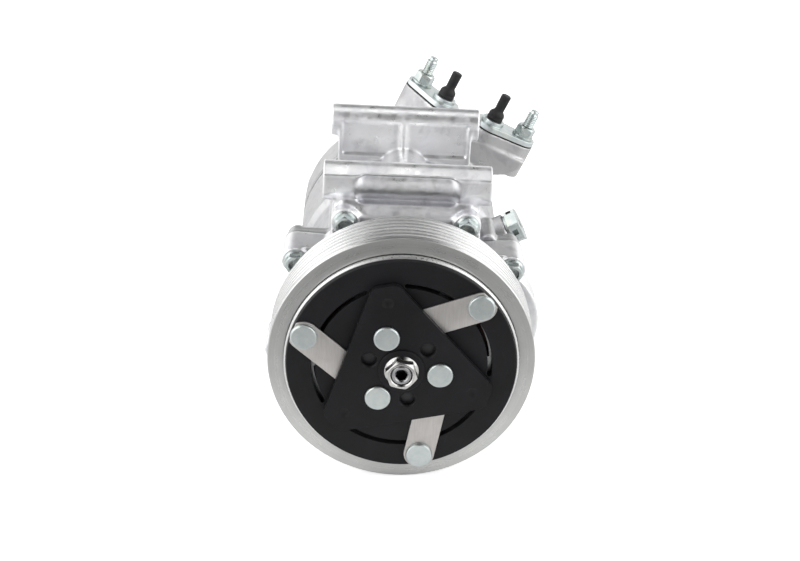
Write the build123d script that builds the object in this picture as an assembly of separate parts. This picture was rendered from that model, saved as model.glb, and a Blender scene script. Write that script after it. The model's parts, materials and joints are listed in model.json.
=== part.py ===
from build123d import *
import math
import os

# Seven-cylinder wobble-plate air-conditioning compressor with an electromagnetic clutch.
# Units: mm. +Z up, +Y along the shaft from the clutch (front) to the rear head, +X to the right
# when the clutch is seen from the front. Origin: shaft axis, in the plane of the pulley's front
# rim face. Angles round the shaft are measured from +Z towards +X.
# Profiles of turned parts are rows of (radius, y). "PCR" is a pitch circle radius.

os.makedirs("parts", exist_ok=True)

# ---------------------------------------------------------------- driving dimensions
# belt pulley with V ribs
PULLEY_R = 62.5
PULLEY_W = 26.1
RIB_PITCH = 3.56
RIB_COUNT = 6
RIB_DEPTH = 2.9
GROOVE_MOUTH_W = 2.72
GROOVE_ROOT_W = 0.62
FRICTION_Y = 0.20
# pulley bearing
BRG_IN_R, BRG_OUT_R = 17.5, 27.5
BRG_Y0, BRG_Y1 = 5.0, 23.0
BRG_MID_Y = (BRG_Y0 + BRG_Y1) / 2
BALL_R = 3.4
BALL_PCR = 22.5
BALL_N = 15
# clutch
ARM_R = 54.8
ARM_FRONT_Y, ARM_BACK_Y = -4.9, -0.35
HUB_PLATE_Y0, HUB_PLATE_Y1 = -9.2, -6.0
SPRING_Y0, SPRING_Y1 = -5.98, -4.92
SPRING_W = 14.4
OUTER_RIVET_PCR, OUTER_RIVET_A = 47.7, 47.2
INNER_RIVET_PCR, INNER_RIVET_A = 18.0, -24.8
INNER_RIVET_HOLE_R = 3.02
PULLER_PCR = 15.8
TRI_APOTHEM = 26.8
TRI_TIP_R = 43.2
TRI_A = -12.8
LEAD_A = 127.5
# housings
SEAM_Y = 56.0
BLOCK_Y, BLOCK_END_Y = 104.0, 152.0
CASE_R = 50.0
BLOCK_R = 52.5
CAVITY_R = 46.0
EAR_PCR, EAR_R = 61.0, 6.6
EAR_ANGLES = (-150.0, -105.0, -58.0, -28.4, 28.4, 58.0, 105.0, 150.0)
HEAD_BOLT_PCR = 46.0
HEAD_BOLT_HOLE_R = 3.3
# mounting lugs: front and rear cross tubes
LUG_Z = 69.0
LUG_F_Y, LUG_F_R, LUG_F_HALF = 50.5, 9.5, 40.0
LUG_R_Y, LUG_R_R, LUG_R_HALF = 133.0, 8.2, 38.0
LUG_BORE_R = 5.25
LUG_SPLIT_Z = 58.2
# radial fittings: angle and y
RELIEF_A, RELIEF_Y = 61.0, 90.0
OIL_PLUG_A, OIL_PLUG_Y = -108.0, 84.0
CONTROL_A, CONTROL_Y = -154.3, 172.0
# running gear
CYL_N = 7
TILT = 15.0
SOCKET_PCR = 35.0
WOBBLE_Y = 78.0
ROD_L = 48.3
ROD_R = 3.3
SOCKET_BALL_R = 5.5
PISTON_BALL_R = 4.6
BORE_R = 13.0
PISTON_R = 12.96
PISTON_LEN = 24.0
PISTON_CROWN = 16.0
HINGE_Y, HINGE_Z = 62.0, -24.0
HINGE_HOLE_R = 2.6
GUIDE_Z = -41.6
# valve stack: each plate starts where the one in front of it ends
GASKET_Y = BLOCK_END_Y
SUCTION_Y = GASKET_Y + 0.5
VALVE_Y = SUCTION_Y + 0.4
DISCHARGE_Y = VALVE_Y + 3.5
RETAINER_Y0, RETAINER_Y1 = DISCHARGE_Y + 0.35, DISCHARGE_Y + 2.0
HEAD_Y0, HEAD_Y1 = DISCHARGE_Y + 0.6, 187.0
# port block; port and stud centres are (across, y) on its tilted face
PORT_TILT = 23.0
PORT_FACE_H = 68.8
SEAL_T = 0.5
COVER_T = 3.3
COVER_TOP_H = PORT_FACE_H + COVER_T
COLLAR_H = 2.2
PORT_1, STUD_1 = (-7.7, 168.0), (-20.6, 180.0)
PORT_2, STUD_2 = (21.7, 168.0), (39.8, 168.0)
STUD_R = 2.675

COS_TILT = math.cos(math.radians(TILT))
SIN_TILT = math.sin(math.radians(TILT))
# sideways drift of a socket from its bore axis, which lies at the mean socket radius
SOCKET_DRIFT = SOCKET_PCR * (1 - COS_TILT) / 2
BORE_PCR = SOCKET_PCR * (1 + COS_TILT) / 2


# ---------------------------------------------------------------- helpers
def turned(*profile):
    """Solid of revolution about the Y axis from (radius, y) points."""
    return revolve(make_face(Polyline(*[(r, y, 0) for r, y in profile], close=True)), Axis.Y, 360)


def turned_z(*profile):
    """Solid of revolution about the Z axis from (radius, z) points."""
    return revolve(make_face(Polyline(*[(r, 0, z) for r, z in profile], close=True)), Axis.Z, 360)


def ring(inner, outer, y0, y1):
    return turned((inner, y0), (outer, y0), (outer, y1), (inner, y1))


def torus(path_r, y, wire_r):
    return revolve(Pos(path_r, y) * Circle(wire_r), Axis.Y, 360)


def cyl_y(radius, y0, y1, x=0.0, z=0.0):
    return Pos(x, (y0 + y1) / 2, z) * Rot(-90, 0, 0) * Cylinder(radius, y1 - y0)


def cyl_x(radius, x0, x1, y, z):
    return Pos((x0 + x1) / 2, y, z) * Rot(0, 90, 0) * Cylinder(radius, x1 - x0)


def cone_y(front_r, back_r, y0, y1, x=0.0, z=0.0):
    return Pos(x, (y0 + y1) / 2, z) * Rot(-90, 0, 0) * Cone(front_r, back_r, y1 - y0)


def polar(radius, angle):
    """(x, z) of a point round the shaft."""
    return radius * math.sin(math.radians(angle)), radius * math.cos(math.radians(angle))


def circle(radius, count, first=0.0):
    """(x, z) points spaced evenly round the shaft."""
    return [polar(radius, first + 360 / count * k) for k in range(count)]


def box(x0, x1, y0, y1, z0, z1):
    return Pos((x0 + x1) / 2, (y0 + y1) / 2, (z0 + z1) / 2) * Box(x1 - x0, y1 - y0, z1 - z0)


def prism(points, y0, y1):
    """Polygon of (x, z) points, extruded along Y."""
    face = make_face(Polyline(*[(x, y0, z) for x, z in points], close=True))
    return extrude(face, amount=y1 - y0, dir=(0, 1, 0))


def side_slab(points, half_width):
    """Polygon of (y, z) points, extruded both ways along X."""
    face = Plane.YZ * make_face(Polyline(*points, close=True))
    return extrude(face, amount=half_width, both=True)


def sector(inner, outer, y0, y1, angle, half_angle):
    """Part of a ring within half_angle either side of angle."""
    rim = [polar(90, angle + turn) for turn in (-half_angle, 0, half_angle)]
    return ring(inner, outer, y0, y1) & prism([(0, 0), *rim], y0 - 1, y1 + 1)


def radial(radius, start, end, y, angle):
    """Cylinder on a radial axis, from radius start to radius end."""
    return Rot(0, angle, 0) * Pos(0, y, (start + end) / 2) * Cylinder(radius, end - start)


def hex_y(across_flats, y0, y1, x=0.0, z=0.0, turn=0.0):
    """Hexagonal prism along Y."""
    corner_r = across_flats / math.sqrt(3)
    angles = [math.radians(60 * k + turn) for k in range(6)]
    return prism([(x + corner_r * math.cos(a), z + corner_r * math.sin(a)) for a in angles], y0, y1)


def drill(body, radius, y0, y1, centres):
    for x, z in centres:
        body = body - cyl_y(radius, y0, y1, x, z)
    return body


def save(name, *shapes):
    solids = [solid for shape in shapes for solid in shape.solids()]
    piece = solids[0] if len(solids) == 1 else Compound(children=solids)
    export_step(piece, f"parts/{name}.step")


CYL_ANGLES = [360 / CYL_N * i for i in range(CYL_N)]
BORES = circle(BORE_PCR, CYL_N)
HEAD_BOLTS = circle(HEAD_BOLT_PCR, CYL_N, 180 / CYL_N)
EARS = [polar(EAR_PCR, angle) for angle in EAR_ANGLES]
OUTER_RIVETS = circle(OUTER_RIVET_PCR, 3, OUTER_RIVET_A)
INNER_RIVETS = circle(INNER_RIVET_PCR, 3, INNER_RIVET_A)

# ---------------------------------------------------------------- belt pulley
GROOVE_ROOT_R = PULLEY_R - RIB_DEPTH
profile = [(33.0, FRICTION_Y), (54.9, FRICTION_Y), (55.0, 0.0), (PULLEY_R - 0.4, 0.0),
           (PULLEY_R, 0.4)]
for i in range(RIB_COUNT):
    groove_y = PULLEY_W / 2 + RIB_PITCH * (i - (RIB_COUNT - 1) / 2)
    profile += [(PULLEY_R, groove_y - GROOVE_MOUTH_W / 2),
                (GROOVE_ROOT_R, groove_y - GROOVE_ROOT_W / 2),
                (GROOVE_ROOT_R, groove_y + GROOVE_ROOT_W / 2),
                (PULLEY_R, groove_y + GROOVE_MOUTH_W / 2)]
# shallow rim groove, rear face, coil space, then the bearing seat
profile += [(PULLEY_R, 24.2), (PULLEY_R - 0.5, 24.35), (PULLEY_R - 0.5, 24.65), (PULLEY_R, 24.8),
            (PULLEY_R, PULLEY_W - 0.4), (PULLEY_R - 0.4, PULLEY_W), (57.3, PULLEY_W),
            (57.3, 6.2), (56.3, 5.2), (31.6, 5.2), (31.6, 24.0), (BRG_OUT_R, 24.0),
            (BRG_OUT_R, BRG_Y0), (25.6, BRG_Y0), (25.6, 3.0), (29.0, FRICTION_Y + 0.6),
            (33.0, FRICTION_Y + 0.6)]
pulley = turned(*profile)
# flux slots through the friction wall: inner radius, outer radius, half angle
FLUX_SLOTS = ((38.2, 41.0, 24.0), (47.0, 49.6, 25.0))
for k in range(6):
    for inner, outer, half_angle in FLUX_SLOTS:
        pulley = pulley - sector(inner, outer, -1, 6, 60 * k, half_angle)
save("pulley", pulley)

# ---------------------------------------------------------------- pulley bearing
race_groove = torus(BALL_PCR, BRG_MID_Y, BALL_R + 0.05)
save("bearing_outer_race", ring(24.2, BRG_OUT_R - 0.02, BRG_Y0 + 0.02, BRG_Y1) - race_groove)
save("bearing_inner_race", ring(BRG_IN_R, 20.8, BRG_Y0, BRG_Y1) - race_groove)
save("bearing_balls",
     *[Pos(x, BRG_MID_Y, z) * Sphere(BALL_R) for x, z in circle(BALL_PCR, BALL_N)])


# ---------------------------------------------------------------- clutch hub
def spring_strip(outer, inner, half_width, y0, y1):
    """Straight strip between an outer and an inner rivet centre."""
    (outer_x, outer_z), (inner_x, inner_z) = outer, inner
    run_x, run_z = inner_x - outer_x, inner_z - outer_z
    length = math.hypot(run_x, run_z)
    side_x, side_z = -run_z / length * half_width, run_x / length * half_width
    return prism([(outer_x + side_x, outer_z + side_z), (inner_x + side_x, inner_z + side_z),
                  (inner_x - side_x, inner_z - side_z), (outer_x - side_x, outer_z - side_z)],
                 y0, y1)


hub = turned((6.72, -6.0), (6.72, -9.2), (8.9, -9.2), (8.9, -6.0), (24.0, -6.0), (24.0, -3.4),
             (11.2, -3.4), (11.2, 9.0), (7.02, 9.0), (7.02, -6.0))
hub = drill(hub, INNER_RIVET_HOLE_R, -7, -3, INNER_RIVETS)
# the leaf springs pass through the hub flange, which is relieved round them
relief_half_w = SPRING_W / 2 + 0.25
for outer, inner in zip(OUTER_RIVETS, INNER_RIVETS):
    hub = hub - (spring_strip(outer, inner, relief_half_w, -6.5, -4.88)
                 + cyl_y(relief_half_w, -6.5, -4.88, *inner) - cyl_y(12.4, -7, -4))
save("clutch_hub", hub)

# ---------------------------------------------------------------- hub plate
# triangle with cut tips: each tip is a short edge at TRI_TIP_R
tip_half_w = (2 * TRI_APOTHEM - TRI_TIP_R) * math.tan(math.radians(30))
corner_r = math.hypot(TRI_TIP_R, tip_half_w)
corner_a = math.degrees(math.atan2(tip_half_w, TRI_TIP_R))
corners = [polar(corner_r, TRI_A + 120 * k + side * corner_a) for k in range(3) for side in (-1, 1)]
plate = prism(corners, HUB_PLATE_Y0, HUB_PLATE_Y1)
plate = fillet(plate.edges().filter_by(Axis.Y), 5.0)
plate = plate - cyl_y(9.0, -10, -5)
for rivet, (puller_x, puller_z), (x, z) in zip(
        INNER_RIVETS, circle(PULLER_PCR, 3, OUTER_RIVET_A), circle(35.0, 3, TRI_A)):
    plate = plate - cyl_y(INNER_RIVET_HOLE_R, -10, -5, *rivet)
    # countersunk puller hole
    plate = (plate - cyl_y(3.4, -10, -5, puller_x, puller_z)
             - cone_y(4.0, 3.2, HUB_PLATE_Y0, HUB_PLATE_Y0 + 0.8, puller_x, puller_z))
    # shallow dimple near the tip
    plate = plate - Pos(x, HUB_PLATE_Y0 - 4.6, z) * Sphere(5.4)
save("hub_plate", plate)

# ---------------------------------------------------------------- leaf springs and rivets
springs = []
for outer, inner in zip(OUTER_RIVETS, INNER_RIVETS):
    end_r = SPRING_W / 2
    leaf = (spring_strip(outer, inner, end_r, SPRING_Y0, SPRING_Y1)
            + cyl_y(end_r, SPRING_Y0, SPRING_Y1, *outer)
            + cyl_y(end_r, SPRING_Y0, SPRING_Y1, *inner))
    leaf = (leaf & cyl_y(53.3, -7, -4)) - cyl_y(12.6, -7, -4)
    springs.append(drill(leaf, INNER_RIVET_HOLE_R, -7, -4, (outer, inner)))
save("leaf_springs", *springs)

# head in front of the spring, shank through the armature, upset tail at the back
armature_rivet = turned((0, -8.0), (5.4, -8.0), (6.0, -7.75), (6.35, -7.0), (6.35, -6.0),
                        (3.0, -6.0), (3.0, -2.2), (4.2, -1.0), (0, -1.0))
save("armature_rivets", *[Pos(x, 0, z) * armature_rivet for x, z in OUTER_RIVETS])
# head in front of the hub plate, tail behind the hub flange
hub_rivet = turned((0, -10.7), (5.4, -10.7), (5.9, -10.4), (6.15, -9.8), (6.15, -9.22),
                   (3.0, -9.22), (3.0, -3.38), (4.4, -3.38), (4.0, -2.2), (0, -2.2))
save("hub_rivets", *[Pos(x, 0, z) * hub_rivet for x, z in INNER_RIVETS])

# ---------------------------------------------------------------- armature plate
ARM_SLOT_IN_R, ARM_SLOT_OUT_R, ARM_SLOT_HALF_A = 40.0, 42.1, 46.5
armature = turned((25.2, ARM_BACK_Y), (ARM_R, ARM_BACK_Y), (ARM_R, -2.3), (53.75, -2.9),
                  (53.45, -4.6), (53.15, ARM_FRONT_Y), (25.2, ARM_FRONT_Y))
armature = armature - ring(29.0, 33.0, ARM_BACK_Y - 0.6, 0)
for k, rivet in enumerate(OUTER_RIVETS):
    slot_a = OUTER_RIVET_A + 120 * k
    armature = armature - sector(ARM_SLOT_IN_R, ARM_SLOT_OUT_R, -6, 1, slot_a, ARM_SLOT_HALF_A)
    # round slot ends
    slot_ends = [polar(41.05, slot_a + turn) for turn in (-ARM_SLOT_HALF_A, ARM_SLOT_HALF_A)]
    armature = drill(armature, (ARM_SLOT_OUT_R - ARM_SLOT_IN_R) / 2, -7, 2, slot_ends)
    armature = armature - cyl_y(3.05, -6, 1, *rivet) - cyl_y(4.4, -2.35, 1, *rivet)
save("armature_plate", armature)

# ---------------------------------------------------------------- shaft nut and drive shaft
nut = (turned((0, -9.25), (10.8, -9.25), (10.8, -10.0), (10.2, -10.6), (8.2, -11.2), (0, -11.2))
       + hex_y(15.0, -14.9, -10.6, turn=12))
nut = nut & turned((0, -9.0), (12, -9.0), (12, -11.0), (8.8, -13.7), (7.4, -14.9), (0, -14.9))
nut = nut - cyl_y(5.0, -16, -9) - cone_y(5.6, 5.0, -14.95, -14.35)
save("shaft_nut", nut)

shaft = turned((0, -14.5), (4.3, -14.5), (4.92, -13.9), (4.92, -5.95), (6.6, -5.9), (6.98, -5.5),
               (6.98, 10.0), (8.0, 10.4), (8.0, 27.0), (8.5, 27.4), (8.5, 112.0), (7.5, 112.6),
               (7.5, 138.0), (7.0, 138.6), (0, 138.6))
# hexagonal socket in the front end
shaft = shaft - hex_y(5.0, -15, -9.5, turn=10) - cone_y(3.4, 2.6, -14.55, -13.85)
save("drive_shaft", shaft)

# ---------------------------------------------------------------- cam rotor
rotor = turned((8.52, 47.2), (14.0, 47.2), (38.0, 47.2), (40.0, 48.0), (40.0, 53.0),
               (38.5, 54.2), (8.52, 54.2))
rotor = rotor - ring(22, 33, 51.5, 55)
# two hinge ears
for x0, x1 in ((-11, -6.2), (6.2, 11)):
    hinge_ear = box(x0, x1, 50.0, HINGE_Y, -31, -17) + cyl_x(5.5, x0, x1, HINGE_Y, HINGE_Z)
    rotor = rotor + (hinge_ear & box(-20, 20, 48, 70, -30, -17.5))
hinge_hole = cyl_x(HINGE_HOLE_R, -15, 15, HINGE_Y, HINGE_Z)
rotor = rotor - hinge_hole
# counterweight on the side away from the hinge
rotor = rotor + sector(24, 39, 53, 57.5, 0, 60)
save("cam_rotor", rotor)

# ---------------------------------------------------------------- journal hub
# flange in front, cylinder that carries the wobble plate, and a tongue between the rotor's ears
TILTED = Pos(0, WOBBLE_Y, 0) * Rot(TILT, 0, 0)
journal = TILTED * (ring(0, 26.0, -11.5, -6.6) + ring(0, 15.0, -6.6, 9.0))
journal = journal + (box(-6.0, 6.0, 57.5, 72.0, -28.5, -16.0) & (TILTED * ring(0, 40, -30, -8)))
journal = journal + cyl_x(4.6, -6.0, 6.0, HINGE_Y, HINGE_Z)
journal = journal - cyl_y(8.9, 40, 110)
journal = journal - hinge_hole
save("journal_hub", journal)
save("hinge_pin", cyl_x(HINGE_HOLE_R - 0.05, -11.6, 11.6, HINGE_Y, HINGE_Z))

coil_path = Helix(pitch=2.6, height=7.6, radius=10.4)
wire = sweep(Plane(origin=coil_path @ 0, z_dir=coil_path % 0) * Circle(0.75), path=coil_path)
save("return_spring", Pos(0, 55.2, 0) * Rot(-90, 0, 0) * wire)

# ---------------------------------------------------------------- wobble plate
# built square to the shaft about the origin, then tilted
wobble = ring(15.06, 42.0, -5.5, 5.5) + ring(15.06, 20.0, -6.4, 8.6)
# scalloped rim between the sockets
wobble = drill(wobble, 11.0, -8, 8, circle(49.5, CYL_N, 180 / CYL_N))
for x, z in circle(SOCKET_PCR, CYL_N):
    wobble = wobble - Pos(x, 0, z) * Sphere(SOCKET_BALL_R + 0.03)
    # conical mouth for the rod's swing, and a small oil hole in front
    wobble = wobble - cone_y(4.9, 6.6, 1.5, 6.5, x, z) - cyl_y(1.5, -8, 0, x, z)
# notch that straddles the guide pin
wobble = wobble - box(-5.6, 5.6, -8, 8, -60, -36.6)
save("wobble_plate", TILTED * wobble)
save("guide_pin", cyl_y(3.0, 59.2, 111.0, 0, GUIDE_Z))

# ---------------------------------------------------------------- rods and pistons
# rod from its socket ball centre; piston and ring from the piston ball centre
rod = turned((0, 0), (SOCKET_BALL_R * 0.62, 3.9), (ROD_R, 7.5), (ROD_R, ROD_L - 7.5),
             (ROD_R, ROD_L - 3.9), (0, ROD_L))
rod = rod + Sphere(SOCKET_BALL_R) + Pos(0, ROD_L, 0) * Sphere(PISTON_BALL_R)
SKIRT = PISTON_CROWN - PISTON_LEN
RING_Y0, RING_Y1 = PISTON_CROWN - 4.6, PISTON_CROWN - 3.0
piston = turned((0, PISTON_CROWN), (PISTON_R - 0.4, PISTON_CROWN), (PISTON_R, PISTON_CROWN - 0.4),
                (PISTON_R, RING_Y1), (PISTON_R - 1.2, RING_Y1), (PISTON_R - 1.2, RING_Y0),
                (PISTON_R, RING_Y0), (PISTON_R, SKIRT + 0.4), (PISTON_R - 0.4, SKIRT),
                (7.4, SKIRT), (5.9, 1.0), (0, 1.0))
piston = piston - Sphere(PISTON_BALL_R + SOCKET_DRIFT + 0.03)
piston_ring = ring(PISTON_R - 1.15, PISTON_R + 0.02, RING_Y0 + 0.05, RING_Y1 - 0.05)
for i, (bore_x, bore_z) in enumerate(BORES):
    sin_phi, cos_phi = polar(1.0, CYL_ANGLES[i])
    socket_y = WOBBLE_Y - SOCKET_PCR * SIN_TILT * cos_phi
    socket = Pos(bore_x + SOCKET_DRIFT * sin_phi, socket_y, bore_z - SOCKET_DRIFT * cos_phi)
    save(f"connecting_rod_{i + 1}", socket * rod)
    piston_at = Pos(bore_x, socket_y + ROD_L, bore_z)
    save(f"piston_{i + 1}", piston_at * piston, piston_at * piston_ring)


# ---------------------------------------------------------------- front housing
def ear_web(angle, ear_r, y0, y1):
    """Web between a bolt ear and the casing, spreading towards the casing."""
    ear_x, ear_z = polar(EAR_PCR, angle)
    side_x, side_z = polar(0.93 * ear_r, angle + 90.0)
    lift_x, lift_z = polar(0.35 * ear_r, angle)
    return prism([polar(44.0, angle - 17.0), polar(50.0, angle - 17.0),
                  (ear_x - side_x + lift_x, ear_z - side_z + lift_z),
                  (ear_x + side_x + lift_x, ear_z + side_z + lift_z),
                  polar(50.0, angle + 17.0), polar(44.0, angle + 17.0)], y0, y1)


# nose, bell and spigot outside; then the stepped bores from the rear to the front
front = turned((12.5, 3.0), (17.0, 3.0), (17.45, 3.4), (17.45, 23.2), (19.5, 23.2), (19.5, 27.1),
               (30.0, 27.1), (30.0, 31.0), (47.0, 35.0), (52.5, 38.0), (54.0, 41.0),
               (54.0, SEAM_Y), (45.9, SEAM_Y), (45.9, SEAM_Y + 3.0), (43.0, SEAM_Y + 3.0),
               (43.0, 46.0), (41.0, 44.0), (12.02, 44.0), (12.02, 31.0), (9.2, 31.0),
               (9.2, 24.0), (12.5, 24.0))
for angle, (x, z) in zip(EAR_ANGLES, EARS):
    front = front + cyl_y(EAR_R, 36.0, SEAM_Y, x, z) + ear_web(angle, EAR_R, 38.5, SEAM_Y)
# rounded side pad on the right
front = front + (cyl_y(31.0, 40.0, SEAM_Y, 36.0, 2.0) - cyl_y(50.0, 30, 60))
# front mounting lug: cross tube, head, web and apron
tube = cyl_x(LUG_F_R, -LUG_F_HALF, LUG_F_HALF, LUG_F_Y, LUG_Z)
face_y = LUG_F_Y - LUG_F_R
# flat front face with a raised top corner; its lower edge rises towards the middle
lug_head = side_slab([(face_y, 60.0), (face_y, 75.0), (face_y + 4.5, 77.2),
                      (LUG_F_Y, LUG_Z + LUG_F_R), (LUG_F_Y, 60.0)], LUG_F_HALF)
lug_head = lug_head & prism(
    [(-LUG_F_HALF, 80.0), (-LUG_F_HALF, 64.5), (-37.5, 64.5), (-25.0, 72.0), (25.0, 72.0),
     (37.5, 64.5), (LUG_F_HALF, 64.5), (LUG_F_HALF, 80.0)], 40.0, 60.0)
web = prism([(-34.5, 46.0), (34.5, 46.0), (34.5, 63.0), (33.0, 72.0), (-33.0, 72.0),
             (-34.5, 63.0)], face_y + 2.4, LUG_F_Y + LUG_F_R - 1.0)
# apron under the pocket, sloping forward onto the nose
apron = side_slab([(38.6, 46.0), (38.6, 54.6), (face_y + 0.6, 60.5), (face_y + 2.4, 62.4),
                   (face_y + 12.0, 62.4), (face_y + 12.0, 46.0)], 31.0)
front = front + tube + lug_head + web + apron
pocket = (Pos(0, face_y + 7.5, 67.9) * Rot(90, 0, 0)
          * extrude(RectangleRounded(49.0, 14.3, 3.6), amount=9.5, both=True))
# the bolt sleeve crosses the pocket as a round bar
front = (front - pocket) + cyl_x(8.0, -25.0, 25.0, LUG_F_Y, LUG_Z)
front = front - cyl_x(LUG_BORE_R, -45.0, 45.0, LUG_F_Y, LUG_Z)
front = front - cyl_y(43.0, 46.0, 70.0)
# behind the seam only the spigot and the lug above LUG_SPLIT_Z belong to this casting
front = front - (box(-80, 80, SEAM_Y, 80, -90, LUG_SPLIT_Z + 0.1) - cyl_y(45.9, 50, 85))
front = drill(front, 3.3, 30, 60, EARS)
# seat groove for the case seal
front = front - ring(44.3, 46.5, 56.6, 58.4)
save("front_housing", front)
save("case_o_ring", torus(45.15, 57.5, 0.8))

# ---------------------------------------------------------------- housing bolts
bolts = []
for angle, (x, z) in zip(EAR_ANGLES, EARS):
    place = Pos(x, 0, z)
    flange = turned((0, 34.2), (4.8, 34.4), (5.6, 35.0), (5.6, 35.95), (0, 35.95))
    envelope = turned((0, 30.4), (4.3, 30.4), (5.1, 31.0), (7, 34), (8, 70), (0, 70))
    recess = turned((0, 29.0), (3.1, 29.0), (2.9, 32.4), (0, 32.9))
    bolt = cyl_y(3.0, 35.9, 66.0, x, z) + place * flange + hex_y(8.8, 30.4, 34.8, x, z, turn=angle)
    bolts.append((bolt & (place * envelope)) - (place * recess))
save("housing_bolts", *bolts)

# ---------------------------------------------------------------- cylinder housing
# main casting: crankcase, cylinder block and rear lug
casting = turned((0, SEAM_Y), (53.5, SEAM_Y), (53.5, 61.0), (CASE_R, 63.0), (CASE_R, 103.0),
                 (BLOCK_R, 107.0), (BLOCK_R, BLOCK_END_Y), (0, BLOCK_END_Y))
for angle, (x, z) in zip(EAR_ANGLES, EARS):
    flange_ear_r, boss_r = EAR_R - 0.2, 5.2
    casting = (casting + cyl_y(flange_ear_r, SEAM_Y, 60.0, x, z)
               + ear_web(angle, flange_ear_r, SEAM_Y, 60.0))
    casting = casting + cyl_y(boss_r, 59.0, 67.6, x, z) + ear_web(angle, boss_r, 59.0, 65.0)
# long low ribs along the crankcase
for angle in (-140.0, -122.0, -76.0, -44.0, 80.0, 122.0, 140.0, 180.0):
    casting = casting + Rot(0, angle, 0) * box(-1.4, 1.4, 60.0, 106.0, 47.0, 52.2)
# rear lug: cross tube on a web, with two sunk panels and a rib between them on each face
casting = casting + cyl_x(LUG_R_R, -LUG_R_HALF, LUG_R_HALF, LUG_R_Y, LUG_Z)
casting = casting + prism([(-34.4, 30.0), (34.4, 30.0), (34.4, LUG_Z), (-34.4, LUG_Z)],
                          LUG_R_Y - LUG_R_R, LUG_R_Y + LUG_R_R)
for x0, x1 in ((-32.4, -2.1), (0.8, 32.4)):
    for y0, y1 in ((LUG_R_Y - 12.0, LUG_R_Y - 6.5), (LUG_R_Y + 6.5, LUG_R_Y + 12.0)):
        casting = casting - box(x0, x1, y0, y1, 53.2, 71.2)
# barrel of the top cylinder, standing proud in front of the rear lug
casting = (casting + cyl_y(15.0, 98.0, 126.5, 0, 41.5)
           + (cone_y(9.0, 15.0, 87.9, 98.1, 0, 41.5) - cyl_y(47.0, 80, 110)))
# low crown behind the front lug
casting = casting + (cyl_y(30.0, 61.0, 104.0, 0, 26.0) - cyl_y(47.0, 50, 110))
# relief valve boss, small round-nosed boss, oil plug boss
casting = (casting + radial(8.4, 44.0, 61.0, RELIEF_Y, RELIEF_A)
           + cyl_y(4.3, 58.5, 78.0, 41.0, 37.0) + radial(8.0, 44.0, 56.0, OIL_PLUG_Y, OIL_PLUG_A))
casting = casting + (Pos(41.0, 58.5, 37.0) * Sphere(4.3) & box(20, 60, SEAM_Y + 0.1, 70, 20, 60))
# room for the rear half of the front lug
casting = casting - box(-42, 42, SEAM_Y - 1, LUG_F_Y + LUG_F_R + 0.4, LUG_SPLIT_Z, 90)
# crankcase cavity, shaft bores and lug bore
casting = casting - cyl_y(CAVITY_R, 50, BLOCK_Y)
casting = casting - cyl_y(11.02, BLOCK_Y - 1, 139.5) - cyl_y(6.0, 139, 153)
casting = casting - cyl_x(LUG_BORE_R, -60, 60, LUG_R_Y, LUG_Z)
for bore, bolt_at in zip(BORES, HEAD_BOLTS):
    casting = casting - cyl_y(BORE_R, BLOCK_Y - 1, BLOCK_END_Y + 1, *bore)
    casting = casting - cyl_y(3.02, 134.0, BLOCK_END_Y + 1, *bolt_at)
casting = drill(casting, 3.03, 50, 67.0, EARS)
casting = (casting - radial(5.03, 40.0, 64.0, RELIEF_Y, RELIEF_A)
           - radial(5.03, 40.0, 62.0, OIL_PLUG_Y, OIL_PLUG_A))
casting = casting - cyl_y(3.01, 100, 112.0, 0, GUIDE_Z)
save("cylinder_housing", casting)

# ---------------------------------------------------------------- relief valve and oil plug
relief = (radial(5.0, 47.0, 61.2, RELIEF_Y, RELIEF_A)
          + radial(7.0, 61.05, 62.4, RELIEF_Y, RELIEF_A))
relief = relief + (Rot(0, RELIEF_A, 0) * Pos(0, RELIEF_Y, 62.4)
                   * extrude(RegularPolygon(9.2, 6), amount=5.6))
# cross slots and a centre hole in the head
relief = relief - Rot(0, RELIEF_A, 0) * (
    Pos(0, RELIEF_Y, 65.0) * (Box(3.0, 20, 2.6) + Box(20, 3.0, 2.6)))
relief = relief - radial(2.2, 63.5, 72, RELIEF_Y, RELIEF_A)
save("pressure_relief_valve", relief)

oil_plug = (radial(5.0, 48.0, 56.2, OIL_PLUG_Y, OIL_PLUG_A)
            + radial(7.6, 56.05, 57.4, OIL_PLUG_Y, OIL_PLUG_A))
oil_plug = oil_plug + (Rot(0, OIL_PLUG_A, 0) * Pos(0, OIL_PLUG_Y, 57.4)
                       * extrude(RegularPolygon(7.0, 6), amount=4.6))
save("oil_plug", oil_plug)

# ---------------------------------------------------------------- bearings, seal, snap rings
save("front_needle_bearing", ring(8.54, 12.0, 31.2, 43.6))
save("rear_needle_bearing", ring(7.54, 11.0, 113.2, 135.0))
save("shaft_seal", turned((8.04, 13.5), (12.48, 13.5), (12.48, 22.5), (10.0, 22.5),
                          (10.0, 17.0), (8.04, 17.0)))
save("thrust_bearing", ring(14.5, 34.0, 44.05, 47.15))
# each ring is cut open by a box: the first gap faces down, the others up
save("snap_rings",
     ring(11.7, 12.45, 11.4, 12.6) - box(-3, 3, 10, 14, -20, 0),
     ring(BRG_IN_R, 20.4, 3.45, 4.7) - box(-4, 4, 3, 5, 0, 25),
     ring(19.55, 22.6, 23.3, 24.6) - box(-4, 4, 23, 25, 0, 25))

# ---------------------------------------------------------------- field coil
LEAD_HOLE_R = 43.6
PLUG_R = 63.4
coil = ring(19.6, 54.0, 24.7, 27.0)
coil = coil + ring(33.2, 36.0, 7.0, 25.0) + ring(51.2, 54.0, 7.0, 25.0)
coil = coil - cyl_y(2.6, 20, 30, *polar(LEAD_HOLE_R, LEAD_A))
save("coil_housing", coil)
save("coil_winding", ring(36.05, 51.15, 8.6, 24.6))

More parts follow.
